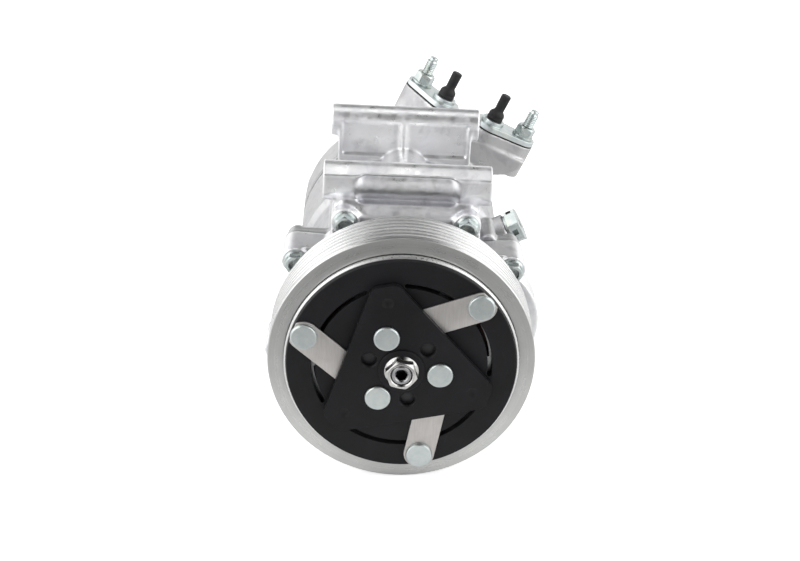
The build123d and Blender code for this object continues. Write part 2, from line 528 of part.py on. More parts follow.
# lead and plug are built at the top and turned to LEAD_A; the path is rows of (radius, y)
LEAD_PATH = ((LEAD_HOLE_R, 25.2), (44.6, 29.0), (52.0, 31.6), (60.5, 33.4), (PLUG_R, 38.0))
path = Spline(*[(0, y, r) for r, y in LEAD_PATH], tangents=((0, 1, 0), (0, 1, 0)))
lead = sweep(Plane(origin=path @ 0, z_dir=path % 0) * Circle(2.2), path=path)
plug = Pos(0, 46.0, PLUG_R) * Box(13.0, 18.0, 9.0)
plug = fillet(plug.edges().filter_by(Axis.Y), 1.6) - Pos(0, 51.0, PLUG_R) * Box(9.6, 12.0, 5.6)
plug = plug + Pos(0, 50.0, PLUG_R) * Box(6.0, 6.0, 0.8) + Pos(0, 45.5, PLUG_R) * Box(6.0, 4.0, 3.0)
save("coil_lead", Rot(0, LEAD_A, 0) * (lead + plug))

# ---------------------------------------------------------------- valve stack
INNER_HOLE_PCR = 24.5


def stack_plate(y0, y1, radius=BLOCK_R):
    """Round plate with the head bolt holes."""
    return drill(cyl_y(radius, y0, y1), HEAD_BOLT_HOLE_R, y0 - 1, y1 + 1, HEAD_BOLTS)


gasket = drill(stack_plate(GASKET_Y, SUCTION_Y), 13.2, 151, 154, BORES)
save("cylinder_gasket", gasket - cyl_y(7.0, 151, 154))

suction = stack_plate(SUCTION_Y, VALVE_Y, 52.3)
for angle in CYL_ANGLES:
    # a U-shaped gap leaves a tongue joined at its inner end
    gap = sector(26.0, 43.0, 152, 153, angle, 12.0) - sector(26.0, 42.0, 152, 153, angle, 10.2)
    suction = suction - gap
    suction = suction - cyl_y(2.8, 151, 154, *polar(INNER_HOLE_PCR, angle))
save("suction_reed_plate", suction)

valve_plate = stack_plate(VALVE_Y, DISCHARGE_Y)
for angle in CYL_ANGLES:
    outer_holes = [polar(36.5, angle + turn) for turn in (-6.0, 6.0)]
    valve_plate = drill(valve_plate, 2.2, 152, 158, outer_holes)
    valve_plate = valve_plate - cyl_y(2.6, 152, 158, *polar(INNER_HOLE_PCR, angle))
save("valve_plate", valve_plate - cyl_y(2.0, 152, 158))


def star(y0, y1, half_width, arm_end, pad_r, pad_pcr):
    """Disc with one arm and round pad per cylinder."""
    body = cyl_y(9.0, y0, y1)
    for angle in CYL_ANGLES:
        body = (body + (Rot(0, angle, 0) * box(-half_width, half_width, y0, y1, 5, arm_end))
                + cyl_y(pad_r, y0, y1, *polar(pad_pcr, angle)))
    return body - cyl_y(2.0, 150, 160)


save("discharge_reeds", star(DISCHARGE_Y, RETAINER_Y0, 2.8, 24.0, 3.9, 24.0))
# the centre rivet is one piece with the retainer's file
save("reed_retainer", star(RETAINER_Y0, RETAINER_Y1, 2.4, 22.6, 3.2, 22.6)
     + (cyl_y(1.98, 153.2, 159.4) + cyl_y(4.0, 158.45, 159.6)))

# rim and middle ring joined by three spokes
gasket = stack_plate(DISCHARGE_Y, HEAD_Y0)
gasket = gasket - cyl_y(28.6, 156, 158)
gasket = gasket - ring(31.4, 41.6, 156, 158)
gasket = gasket + ring(28.5, 31.5, DISCHARGE_Y, HEAD_Y0)
for k in range(3):
    gasket = gasket + Rot(0, 60 + 120 * k, 0) * box(-1.5, 1.5, DISCHARGE_Y, HEAD_Y0, 30.0, 43.0)
save("head_gasket", gasket)


# ---------------------------------------------------------------- rear head with its port block
def port_xz(across, height):
    """(x, z) of a point in the frame of the tilted port face."""
    (normal_x, normal_z), (across_x, across_z) = polar(1, PORT_TILT), polar(1, PORT_TILT + 90)
    return across * across_x + height * normal_x, across * across_z + height * normal_z


def port_frame(point, height):
    """Location on a port or stud axis, with local Z outward along it."""
    x, z = port_xz(point[0], height)
    return Pos(x, point[1], z) * Rot(0, PORT_TILT, 0)


def port_cyl(point, mid_height, radius, length):
    return port_frame(point, mid_height) * Cylinder(radius, length)


def oblong(port, stud, port_r, stud_r, height0, height1):
    """Tangent hull of a circle at the port and one at the stud."""
    run_x, run_y = stud[0] - port[0], stud[1] - port[1]
    base = math.atan2(run_y, run_x)
    spread = math.acos((port_r - stud_r) / math.hypot(run_x, run_y))
    points = []
    for (x, y), radius, side in ((port, port_r, 1), (stud, stud_r, 1),
                                 (stud, stud_r, -1), (port, port_r, -1)):
        turn = base + side * spread
        points.append((x + radius * math.cos(turn), y + radius * math.sin(turn), 0))
    outline = (make_face(Polyline(*points, close=True))
               + Pos(*port) * Circle(port_r) + Pos(*stud) * Circle(stud_r))
    return Rot(0, PORT_TILT, 0) * Pos(0, 0, height0) * extrude(outline, amount=height1 - height0)


head = turned((0, HEAD_Y0), (BLOCK_R, HEAD_Y0), (BLOCK_R, HEAD_Y1 - 6.0),
              (BLOCK_R - 2.0, HEAD_Y1 - 2.0), (BLOCK_R - 6.0, HEAD_Y1), (0, HEAD_Y1))
# (across, height) outlines of the bridge between the ports and of the foot under port 2
BRIDGE = ((-12, 64), (24, 64), (24, 30), (-12, 30))
FOOT = ((12, 62), (46, 62), (44.5, 56), (39, 50.5), (30, 46.5), (20, 34), (8, 40))
port_block = (oblong(PORT_1, STUD_1, 9.6, 7.8, 30.0, PORT_FACE_H)
              + oblong(PORT_2, STUD_2, 9.6, 7.8, 50.0, PORT_FACE_H)
              + prism([port_xz(*point) for point in BRIDGE], 160.5, 178.0)
              + prism([port_xz(*point) for point in FOOT], 158.0, 178.0))
head = head + (port_block - cyl_y(BLOCK_R + 1.2, 140, HEAD_Y0))
head = head + radial(11.5, 30.0, 60.0, CONTROL_Y, CONTROL_A)
for x, z in HEAD_BOLTS:
    head = head + cyl_y(6.4, 180.0, HEAD_Y1, x, z)
# outer and inner chambers; port 1 crosses the outer one in a sleeve
head = head - (ring(31.4, 40.6, 150.0, 181.0) - port_cyl(PORT_1, 35, 8.2, 40)
               - radial(11.5, 28.0, 60.0, CONTROL_Y, CONTROL_A))
head = head - cyl_y(28.4, 150, 179.5)
head = head + (port_cyl(PORT_1, 30, 8.2, 24) & ring(31, 41, 158, 181))
head = drill(head, HEAD_BOLT_HOLE_R, 150, 190, HEAD_BOLTS)
# port passages: centre, radius, height of the inner end
for port, radius, bottom in ((PORT_1, 4.8, 20), (PORT_2, 5.2, 32)):
    head = head - port_cyl(port, (PORT_FACE_H + bottom) / 2, radius, PORT_FACE_H - bottom)
for port in (PORT_1, PORT_2):
    head = head - port_cyl(port, PORT_FACE_H - 6.0, 6.6, 12.02)
for stud in (STUD_1, STUD_2):
    head = head - port_cyl(stud, PORT_FACE_H - 7.0, STUD_R + 0.02, 14.02)
# control valve bore, from below
head = head - radial(8.02, 33.0, 62.0, CONTROL_Y, CONTROL_A)
save("rear_head", head)

save("control_valve", radial(8.0, 34.0, 56.0, CONTROL_Y, CONTROL_A)
     + radial(5.2, 55.0, 60.5, CONTROL_Y, CONTROL_A)
     - radial(2.0, 58.0, 62.0, CONTROL_Y, CONTROL_A))

bolts = []
for i, (x, z) in enumerate(HEAD_BOLTS):
    bolt = cyl_y(3.0, 138.0, 187.2, x, z) + hex_y(10.0, 187.05, 192.4, x, z, turn=20 * i)
    envelope = turned((0, 120), (7, 120), (7, 190.6), (5.0, 192.4), (0, 192.4))
    bolts.append(bolt & (Pos(x, 0, z) * envelope))
save("head_bolts", *bolts)

# ---------------------------------------------------------------- port covers, seals and fittings
FROM_BASE = (Align.CENTER, Align.CENTER, Align.MIN)
seals, covers = [], []
for port, stud in ((PORT_1, STUD_1), (PORT_2, STUD_2)):
    cover = oblong(port, stud, 9.2, 7.4, PORT_FACE_H + SEAL_T, COVER_TOP_H)
    cover = cover + (port_frame(port, COVER_TOP_H - 0.5)
                     * Cylinder(6.2, COLLAR_H + 0.5, align=FROM_BASE))
    covers.append(cover - port_cyl(port, PORT_FACE_H, 4.05, 20)
                  - port_cyl(stud, PORT_FACE_H, 3.3, 20))
    seal = oblong(port, stud, 9.3, 7.5, PORT_FACE_H + 0.01, PORT_FACE_H + SEAL_T - 0.01)
    seals.append(seal - port_cyl(port, PORT_FACE_H, 6.7, 20)
                 - port_cyl(stud, PORT_FACE_H, 3.6, 20))
save("port_cover_plates", *covers)
save("port_seals", *seals)

# (radius, height) profiles, with height measured from the cover's top face
rim = COLLAR_H + 0.03
port_plug = turned_z((0, -8.0), (3.4, -8.0), (4.0, -6.0), (4.0, rim), (4.5, rim),
                     (4.6, rim + 1.0), (4.2, rim + 3.2), (3.3, rim + 4.6), (2.7, rim + 5.4),
                     (2.7, 16.4), (2.35, 17.0), (0, 17.0))
save("port_plugs", *[port_frame(port, COVER_TOP_H) * port_plug for port in (PORT_1, PORT_2)])

port_stud = turned_z((0, -14.0), (STUD_R, -14.0), (STUD_R, 6.3), (3.0, 6.5), (3.0, 13.6),
                     (2.2, 14.2), (2.2, 15.6), (1.8, 16.0), (0, 16.0))
save("port_studs", *[port_frame(stud, COVER_TOP_H) * port_stud for stud in (STUD_1, STUD_2)])

NUT_H = 6.2
port_nut = (extrude(RegularPolygon(4.6 / math.cos(math.radians(30)), 6), amount=NUT_H)
            + Cylinder(5.7, 1.1, align=FROM_BASE))
port_nut = port_nut & turned_z((0, 0), (5.8, 0), (5.8, 0.9), (5.2, 5.3), (4.5, NUT_H), (0, NUT_H))
port_nut = port_nut - Cylinder(STUD_R + 0.02, 30)
save("port_nuts", *[port_frame(stud, COVER_TOP_H + 0.02) * port_nut for stud in (STUD_1, STUD_2)])
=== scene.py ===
import json
import math
import bmesh
import bpy
import numpy as np
from mathutils import Matrix, Vector

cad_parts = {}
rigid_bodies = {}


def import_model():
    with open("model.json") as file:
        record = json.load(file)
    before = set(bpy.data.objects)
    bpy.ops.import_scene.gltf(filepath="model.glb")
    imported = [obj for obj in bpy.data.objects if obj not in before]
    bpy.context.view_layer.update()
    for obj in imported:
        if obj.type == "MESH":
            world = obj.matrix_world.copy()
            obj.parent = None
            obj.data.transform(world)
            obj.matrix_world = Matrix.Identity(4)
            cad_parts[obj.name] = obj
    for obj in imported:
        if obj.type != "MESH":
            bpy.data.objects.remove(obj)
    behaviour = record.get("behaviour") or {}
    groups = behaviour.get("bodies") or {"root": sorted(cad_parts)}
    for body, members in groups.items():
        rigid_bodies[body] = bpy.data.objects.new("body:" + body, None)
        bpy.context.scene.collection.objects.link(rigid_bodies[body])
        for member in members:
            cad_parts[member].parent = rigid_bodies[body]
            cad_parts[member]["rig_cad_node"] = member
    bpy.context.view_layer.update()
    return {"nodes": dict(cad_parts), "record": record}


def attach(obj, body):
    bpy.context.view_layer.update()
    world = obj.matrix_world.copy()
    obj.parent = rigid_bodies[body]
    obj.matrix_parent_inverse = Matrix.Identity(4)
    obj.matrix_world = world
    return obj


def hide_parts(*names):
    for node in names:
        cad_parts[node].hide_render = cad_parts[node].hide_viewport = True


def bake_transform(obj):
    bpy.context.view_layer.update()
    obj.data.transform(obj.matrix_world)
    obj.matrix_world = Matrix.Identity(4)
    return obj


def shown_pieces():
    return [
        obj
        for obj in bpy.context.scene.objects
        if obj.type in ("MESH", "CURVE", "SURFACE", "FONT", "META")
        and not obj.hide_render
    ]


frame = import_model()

NODES = frame["nodes"]
RECORD = frame["record"]
BODY = {n: b for b, ns in RECORD["behaviour"]["bodies"].items() for n in ns}
SLOT = {s["node"]: s.get("material_slot") or s.get("material") for s in RECORD["subparts"]}
SCN = bpy.context.scene
MM = 0.001
sin, cos, rad = math.sin, math.cos, math.radians


# ------------------------------------------------------------------ material helpers
class M:
    """A small wrapper that builds one procedural material."""

    def __init__(self, name):
        self.m = bpy.data.materials.new(name)
        self.m.use_nodes = True
        self.t = self.m.node_tree
        self.p = self.t.nodes["Principled BSDF"]
        self.co = self.n("ShaderNodeTexCoord").outputs["Object"]

    def n(self, kind, ins=None, **props):
        nd = self.t.nodes.new(kind)
        for k, v in props.items():
            setattr(nd, k, v)
        for k, v in (ins or {}).items():
            self.put(nd.inputs[k], v)
        return nd

    def put(self, sock, v):
        if isinstance(v, bpy.types.NodeSocket):
            self.t.links.new(v, sock)
        else:
            sock.default_value = v

    def noise(self, scale, detail=3.0, rough=0.5, vec=None, dist=0.0):
        nd = self.n("ShaderNodeTexNoise", {"Scale": scale, "Detail": detail, "Roughness": rough, "Distortion": dist})
        self.put(nd.inputs["Vector"], vec or self.co)
        return nd.outputs[0]

    def stretch(self, sx, sy, sz, rot=(0, 0, 0)):
        nd = self.n("ShaderNodeMapping", {"Scale": (sx, sy, sz), "Rotation": rot})
        self.put(nd.inputs["Vector"], self.co)
        return nd.outputs[0]

    def math(self, op, a, b=0.0, c=None, clamp=False):
        nd = self.n("ShaderNodeMath", operation=op, use_clamp=clamp)
        self.put(nd.inputs[0], a)
        self.put(nd.inputs[1], b)
        if c is not None:
            self.put(nd.inputs[2], c)
        return nd.outputs[0]

    def ramp(self, v, a, b, c=0.0, d=1.0):
        nd = self.n("ShaderNodeMapRange", {"From Min": a, "From Max": b, "To Min": c, "To Max": d}, clamp=True)
        self.put(nd.inputs["Value"], v)
        return nd.outputs[0]

    def mix(self, f, a, b, mode="MIX"):
        nd = self.n("ShaderNodeMix", data_type="RGBA", blend_type=mode)
        self.put(nd.inputs[0], f)
        for i, v in ((6, a), (7, b)):
            self.put(nd.inputs[i], v if isinstance(v, bpy.types.NodeSocket) else (*v, 1.0))
        return nd.outputs[2]

    def grey(self, v):
        nd = self.n("ShaderNodeCombineColor")
        for i in range(3):
            self.put(nd.inputs[i], v)
        return nd.outputs[0]

    def bump(self, h, strength, dist, normal=None):
        nd = self.n("ShaderNodeBump", {"Strength": strength, "Distance": dist, "Height": h})
        if normal:
            self.put(nd.inputs["Normal"], normal)
        return nd.outputs[0]

    def bevel(self, r, samples=4):
        return self.n("ShaderNodeBevel", {"Radius": r}, samples=samples).outputs[0]

    def point(self):
        return self.n("ShaderNodeNewGeometry").outputs["Pointiness"]

    # ambient-occlusion ramp; the materials multiply it into their colour to paint shade into corners and recesses
    def ao(self, dist, lo=0.25, hi=0.85):
        nd = self.n("ShaderNodeAmbientOcclusion", {"Distance": dist}, samples=6)
        return self.ramp(nd.outputs["AO"], lo, hi)

    def radius(self):
        """Distance from the shaft axis, in metres."""
        s = self.n("ShaderNodeSeparateXYZ", {"Vector": self.co})
        return self.math("SQRT", self.math("ADD", self.math("MULTIPLY", s.outputs[0], s.outputs[0]), self.math("MULTIPLY", s.outputs[2], s.outputs[2])))

    def around(self):
        """World-space direction round the shaft, for turned finishes."""
        c = self.n("ShaderNodeVectorMath", {0: (0.0, 1.0, 0.0)}, operation="CROSS_PRODUCT")
        self.put(c.inputs[1], self.co)
        v = self.n("ShaderNodeVectorTransform", vector_type="VECTOR", convert_from="OBJECT", convert_to="WORLD")
        self.put(v.inputs[0], c.outputs[0])
        return v.outputs[0]

    def set(self, **kw):
        names = {"base": "Base Color", "metal": "Metallic", "rough": "Roughness", "spec": "Specular IOR Level", "normal": "Normal",
                 "aniso": "Anisotropic", "tangent": "Tangent", "coat": "Coat Weight", "coat_rough": "Coat Roughness", "sheen": "Sheen Weight"}
        for k, v in kw.items():
            if k == "base" and not isinstance(v, bpy.types.NodeSocket):
                v = (*v, 1.0)
            self.put(self.p.inputs[names[k]], v)
        return self.m


def mat_cast(name, gain=1.03, tint=(1.0, 0.998, 0.992), rough=(0.32, 0.50), metal=0.92, low=1.0):
    s = M(name)
    t = lambda r, g, b: tuple(min(0.98, v * gain * k) for v, k in zip((r, g, b), tint))
    big, med = s.noise(30, 2), s.noise(230, 5, 0.6)
    fine, grit = s.noise(1500, 3, 0.6), s.noise(5200, 2)
    flow = s.noise(60, 5, 0.6, s.stretch(1.0, 0.30, 0.8, (0.2, 0.1, 0.3)), 0.9)
    stain = s.noise(95, 4, 0.6, None, 0.4)
    col = s.mix(s.ramp(big, 0.38, 0.62), t(0.93, 0.93, 0.945), t(0.86, 0.865, 0.895))
    col = s.mix(s.ramp(flow, 0.48, 0.60, 0.0, 0.55), col, t(0.97, 0.97, 0.97))
    col = s.mix(s.ramp(flow, 0.45, 0.36, 0.0, 0.5), col, t(0.66, 0.66, 0.70))
    col = s.mix(s.ramp(stain, 0.55, 0.66, 0.0, 0.38), col, t(0.58, 0.585, 0.61))
    col = s.mix(s.ramp(med, 0.58, 0.76, 0.0, 0.22), col, t(0.72, 0.72, 0.75))
    # painted shade: the colour is multiplied darker towards the bottom of the casting, down to the factor low at 42 mm
    # height and below
    if low < 1.0:
        zz = s.n("ShaderNodeSeparateXYZ", {"Vector": s.co}).outputs[2]
        col = s.mix(1.0, col, s.grey(s.ramp(zz, 0.042, 0.062, low, 1.0)), "MULTIPLY")
    # painted highlight on convex edges and painted shade in concave creases, both taken from mesh pointiness
    pt = s.point()
    col = s.mix(s.ramp(pt, 0.505, 0.55, 0.0, 0.65), col, t(0.98, 0.98, 0.98))
    col = s.mix(s.ramp(pt, 0.485, 0.42, 0.0, 0.55), col, t(0.42, 0.42, 0.45))
    # painted shade: colour darkened where ambient occlusion finds nearby surfaces
    col = s.mix(s.ao(0.012, 0.10, 0.75), s.mix(1.0, col, (0.55, 0.55, 0.585), "MULTIPLY"), col)
    r = s.math("ADD", s.ramp(med, 0.35, 0.68, rough[0], rough[1]), s.ramp(grit, 0.3, 0.7, -0.04, 0.05))
    r = s.math("ADD", r, s.ramp(flow, 0.42, 0.62, 0.06, -0.08))
    h = s.math("ADD", s.math("MULTIPLY", fine, 0.7), s.math("ADD", s.math("MULTIPLY", grit, 0.3), s.math("MULTIPLY", med, 1.4)))
    return s.set(base=col, metal=metal, rough=r, normal=s.bump(h, 0.40, 0.00018))


def mat_turned(name, col0, col1, rough=0.33, aniso=0.6, line=0.0, painted_groove_highlight=None, socket=None):
    s = M(name)
    r = s.radius()
    v = s.n("ShaderNodeSeparateXYZ", {"Vector": s.co})
    rr = s.n("ShaderNodeCombineXYZ", {"X": s.math("MULTIPLY", r, 1.0), "Y": s.math("MULTIPLY", v.outputs[1], 1.0)}).outputs[0]
    rings = s.noise(2600, 4, 0.7, rr)
    wide = s.noise(330, 3, 0.6, rr)
    cloud = s.noise(60, 3)
    col = s.mix(s.ramp(rings, 0.32, 0.68), col0, col1)
    col = s.mix(s.ramp(cloud, 0.45, 0.75, 0.0, 0.25), col, tuple(c * 0.8 for c in col0))
    # painted shade: inside radius socket on the shaft end face the colour is near-black, standing for a shaded socket
    # recess
    if socket:
        col = s.mix(s.math("MULTIPLY", s.ramp(r, socket, socket - 0.0002), s.ramp(v.outputs[1], -0.0145, -0.0135)), col, (0.025, 0.025, 0.027))
    if painted_groove_highlight:
        # painted highlight: the belt grooves get a brighter colour than the rest of the pulley, and a lower roughness
        inside = s.math("MULTIPLY", s.ramp(r, 0.0580, 0.0586), s.ramp(v.outputs[1], 0.0003, 0.0006))
        col = s.mix(inside, col, s.mix(s.ramp(rings, 0.32, 0.68), (0.84, 0.845, 0.83), (0.92, 0.92, 0.91)))
    # painted shade: colour darkened where ambient occlusion finds nearby surfaces
    col = s.mix(s.ao(0.0055 if painted_groove_highlight else 0.004, 0.2, 0.82), s.mix(1.0, col, (0.5, 0.5, 0.52), "MULTIPLY"), col)
    ro = s.math("ADD", s.ramp(wide, 0.35, 0.65, rough - 0.05, rough + 0.06), s.ramp(cloud, 0.4, 0.7, -0.02, 0.04))
    if painted_groove_highlight:
        ro = s.math("SUBTRACT", ro, s.math("MULTIPLY", inside, 0.09))
    h = s.math("ADD", s.math("MULTIPLY", rings, 1.0), s.math("MULTIPLY", wide, 0.5))
    n = s.bump(h, 0.10 + line, 0.00005, s.bevel(0.00018))
    return s.set(base=col, metal=1.0, rough=ro, aniso=aniso, tangent=s.around(), normal=n)


def mat_plated(name, col0, col1, rough=(0.24, 0.38), tint=(0.80, 0.80, 0.66), bev=0.00022, grain=0.10):
    s = M(name)
    a, b, c = s.noise(320, 3), s.noise(1300, 4, 0.6), s.noise(6000, 2)
    col = s.mix(s.ramp(a, 0.35, 0.65), col0, col1)
    col = s.mix(s.ramp(s.noise(150, 2, 0.5, None, 1.5), 0.54, 0.70, 0.0, 0.35), col, tint)
    # painted shade: colour darkened where ambient occlusion finds nearby surfaces
    col = s.mix(s.ao(0.003, 0.15, 0.75), s.mix(1.0, col, (0.45, 0.47, 0.48), "MULTIPLY"), col)
    r = s.math("ADD", s.ramp(b, 0.3, 0.7, rough[0], rough[1]), s.ramp(c, 0.3, 0.7, -0.02, 0.03))
    n = s.bump(s.math("ADD", s.math("MULTIPLY", b, 1.0), s.math("MULTIPLY", c, 0.4)), grain, 0.00008, s.bevel(bev))
    return s.set(base=col, metal=1.0, rough=r, normal=n)


def mat_ecoat(name, edge=False):
    s = M(name)
    a, b, c = s.noise(42, 3, 0.5, None, 0.4), s.noise(950, 3, 0.55), s.noise(4200, 2)
    col = s.mix(s.ramp(a, 0.35, 0.65), (0.0085, 0.0085, 0.0095), (0.0125, 0.0125, 0.0145))
    col = s.mix(s.ramp(c, 0.60, 0.80, 0.0, 0.5), col, (0.030, 0.030, 0.034))
    scuff = s.noise(260, 6, 0.75, s.stretch(1.0, 1.0, 0.22, (0, 0.6, 0)), 0.8)
    col = s.mix(s.ramp(scuff, 0.66, 0.74, 0.0, 0.35), col, (0.07, 0.07, 0.075))
    r = s.math("ADD", s.ramp(b, 0.3, 0.7, 0.36, 0.50), s.ramp(a, 0.3, 0.7, -0.04, 0.05))
    n = s.bump(s.math("ADD", s.math("MULTIPLY", b, 1.0), s.math("MULTIPLY", c, 0.35)), 0.14, 0.00012, s.bevel(0.0003))
    metal = 0.0
    if edge:
        # the turned outer edge is bare steel behind the painted front corner
        yy = s.n("ShaderNodeSeparateXYZ", {"Vector": s.co}).outputs[1]
        metal = s.math("MULTIPLY", s.ramp(s.radius(), 0.05342, 0.05350), s.ramp(yy, -0.0029, -0.0027))
        lines = s.noise(5200, 3, 0.7, s.n("ShaderNodeCombineXYZ", {"X": s.radius(), "Y": yy}).outputs[0])
        col = s.mix(metal, col, s.mix(s.ramp(lines, 0.35, 0.65), (0.72, 0.72, 0.71), (0.90, 0.90, 0.89)))
        r = s.math("SUBTRACT", r, s.math("MULTIPLY", metal, 0.14))
    return s.set(base=col, metal=metal, rough=r, spec=0.22, normal=n, coat=0.0)


def mat_strip(name, angle_free=True):
    """Bare rolled strip with stretched grain; its edges are rounded by the bevel node."""
    s = M(name)
    a = s.noise(120, 3, 0.5, None, 0.5)
    g = s.noise(1700, 5, 0.7, s.stretch(1.0, 0.3, 0.05, (0, 0.35, 0)))
    b = s.noise(2800, 3)
    col = s.mix(s.ramp(g, 0.35, 0.65), (0.57, 0.545, 0.525), (0.66, 0.64, 0.62))
    col = s.mix(s.ramp(a, 0.5, 0.72, 0.0, 0.35), col, (0.50, 0.47, 0.44))
    r = s.ramp(g, 0.3, 0.7, 0.36, 0.48)
    n = s.bump(s.math("ADD", g, s.math("MULTIPLY", b, 0.6)), 0.12, 0.00006, s.bevel(0.00016))
    return s.set(base=col, metal=0.92, rough=r, normal=n)


def mat_rubber(name, base=(0.014, 0.014, 0.015), rough=(0.52, 0.68)):
    s = M(name)
    a, b, c = s.noise(160, 3), s.noise(1500, 4, 0.65), s.noise(5200, 2)
    col = s.mix(s.ramp(a, 0.35, 0.7), base, tuple(v * 1.9 for v in base))
    col = s.mix(s.ramp(s.noise(700, 5, 0.7), 0.60, 0.75, 0.0, 0.4), col, tuple(v * 4.0 for v in base))
    r = s.ramp(b, 0.3, 0.7, rough[0], rough[1])
    n = s.bump(s.math("ADD", b, s.math("MULTIPLY", c, 0.5)), 0.22, 0.00012, s.bevel(0.0003))
    return s.set(base=col, metal=0.0, rough=r, spec=0.30, normal=n, sheen=0.06)


def mat_plain(name, c0, c1, metal, rough, grain=0.12, scale=900, spec=0.5):
    s = M(name)
    a, b = s.noise(scale * 0.15, 3), s.noise(scale, 4, 0.6)
    col = s.mix(s.ramp(a, 0.35, 0.65), c0, c1)
    col = s.mix(s.ramp(b, 0.58, 0.75, 0.0, 0.3), col, tuple(min(1.0, v * 1.35) for v in c1))
    # painted shade: colour darkened where ambient occlusion finds nearby surfaces
    col = s.mix(s.ao(0.004, 0.2, 0.8), s.mix(1.0, col, (0.5, 0.5, 0.5), "MULTIPLY"), col)
    n = s.bump(b, grain, 0.0001, s.bevel(0.0002))
    return s.set(base=col, metal=metal, rough=s.ramp(b, 0.3, 0.7, rough - 0.05, rough + 0.07), normal=n, spec=spec)


def mat_bright(name):
    s = M(name)
    a, b = s.noise(420, 3), s.noise(2600, 3)
    v = s.n("ShaderNodeSeparateXYZ", {"Vector": s.co})
    col = s.mix(s.ramp(a, 0.35, 0.65), (0.62, 0.615, 0.60), (0.74, 0.735, 0.72))
    # painted shade: colour darkened strongly where ambient occlusion finds nearby surfaces
    col = s.mix(s.ao(0.004, 0.15, 0.8), s.mix(1.0, col, (0.12, 0.12, 0.125), "MULTIPLY"), col)
    n = s.bump(s.math("ADD", a, s.math("MULTIPLY", b, 0.3)), 0.07, 0.00006, s.bevel(0.00025))
    return s.set(base=col, metal=1.0, rough=s.ramp(b, 0.3, 0.7, 0.11, 0.19), normal=n)


MATS = {
    "cast_aluminium": mat_cast("cast_aluminium"),
    # the block carries painted shade on its lower part (low=0.60)
    "cast_block": mat_cast("cast_block", 1.06, low=0.60),
    "cast_rear": mat_cast("cast_rear", 0.62, (1.0, 0.995, 0.98), (0.30, 0.46)),
    "machined_aluminium": mat_turned("machined_aluminium", (0.74, 0.74, 0.75), (0.84, 0.84, 0.85), 0.30, 0.4),
    # pulley steel, with a painted highlight on its belt grooves
    "machined_steel": mat_turned("machined_steel", (0.60, 0.605, 0.59), (0.73, 0.73, 0.715), 0.30, 0.62, painted_groove_highlight=True),
    "zinc_plated": mat_plated("zinc_plated", (0.54, 0.60, 0.595), (0.66, 0.71, 0.70)),
    "zinc_sheet": mat_plated("zinc_sheet", (0.64, 0.69, 0.69), (0.73, 0.78, 0.775), (0.28, 0.42), (0.78, 0.80, 0.72)),
    "rivet_zinc": mat_plated("rivet_zinc", (0.62, 0.68, 0.675), (0.70, 0.75, 0.745), (0.27, 0.40), (0.76, 0.79, 0.72), 0.0003, 0.08),
    "black_ecoat": mat_ecoat("black_ecoat"),
    "armature_black": mat_ecoat("armature_black", True),
    "spring_steel": mat_strip("spring_steel"),
    "bright_nut": mat_bright("bright_nut"),
    "ground_steel": mat_turned("ground_steel", (0.42, 0.42, 0.43), (0.52, 0.52, 0.53), 0.22, 0.3, socket=0.0030),
    # painted shade: the clutch hub, seen through the puller holes, is near-black so the holes look shaded
    "hub_painted_shade": mat_plain("hub_painted_shade", (0.030, 0.030, 0.032), (0.045, 0.045, 0.048), 0.3, 0.40),
    "bearing_steel": mat_turned("bearing_steel", (0.58, 0.58, 0.60), (0.70, 0.70, 0.72), 0.15, 0.3),
    "dark_steel": mat_plain("dark_steel", (0.16, 0.16, 0.165), (0.24, 0.24, 0.245), 0.9, 0.42),
    "black_rubber": mat_rubber("black_rubber"),
    "coil_resin": mat_plain("coil_resin", (0.10, 0.035, 0.02), (0.16, 0.06, 0.03), 0.0, 0.35, 0.3, 700),
    "lead_plastic": mat_rubber("lead_plastic", (0.012, 0.012, 0.013), (0.32, 0.46)),
    "gasket": mat_plain("gasket", (0.05, 0.05, 0.055), (0.09, 0.09, 0.095), 0.1, 0.6, 0.3, 1500),
    "brass_valve": mat_plain("brass_valve", (0.60, 0.42, 0.17), (0.70, 0.52, 0.24), 1.0, 0.30),
}


# ------------------------------------------------------------------ mesh helpers
def link(name, me):
    ob = bpy.data.objects.new(name, me)
    SCN.collection.objects.link(ob)
    return ob


def finish_piece(ob, node, mat=None, replace=True):
    ob.data.materials.clear()
    ob.data.materials.append(MATS[mat or SLOT[node]])
    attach(ob, BODY[node])
    if replace:
        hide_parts(node)
    return ob


def copy_bm(node):
    bm = bmesh.new()
    bm.from_mesh(NODES[node].data)
    bmesh.ops.remove_doubles(bm, verts=bm.verts, dist=2e-6)
    return bm


def refine(node, name, width=0.22, segs=2, angle=28.0, mat=None, weld=1.0):
    """The node's own shape with its edges broken: flats merged, corners rounded, normals weighted to the flats."""
    bm = copy_bm(node)
    bmesh.ops.dissolve_limit(bm, angle_limit=rad(weld), verts=bm.verts, edges=bm.edges, delimit=set())
    edges = [e for e in bm.edges if len(e.link_faces) == 2 and e.calc_face_angle(0.0) > rad(angle)]
    if width > 0:
        bmesh.ops.bevel(bm, geom=edges, offset=width * MM, offset_type="OFFSET", segments=segs, profile=0.6, affect="EDGES", clamp_overlap=True, harden_normals=False)
    me = bpy.data.meshes.new(name)
    bm.to_mesh(me)
    bm.free()
    me.shade_smooth()
    me.set_sharp_from_angle(angle=rad(40))
    ob = link(name, me)
    w = ob.modifiers.new("flat", "WEIGHTED_NORMAL")
    w.keep_sharp = True
    w.weight = 60
    return finish_piece(ob, node, mat)


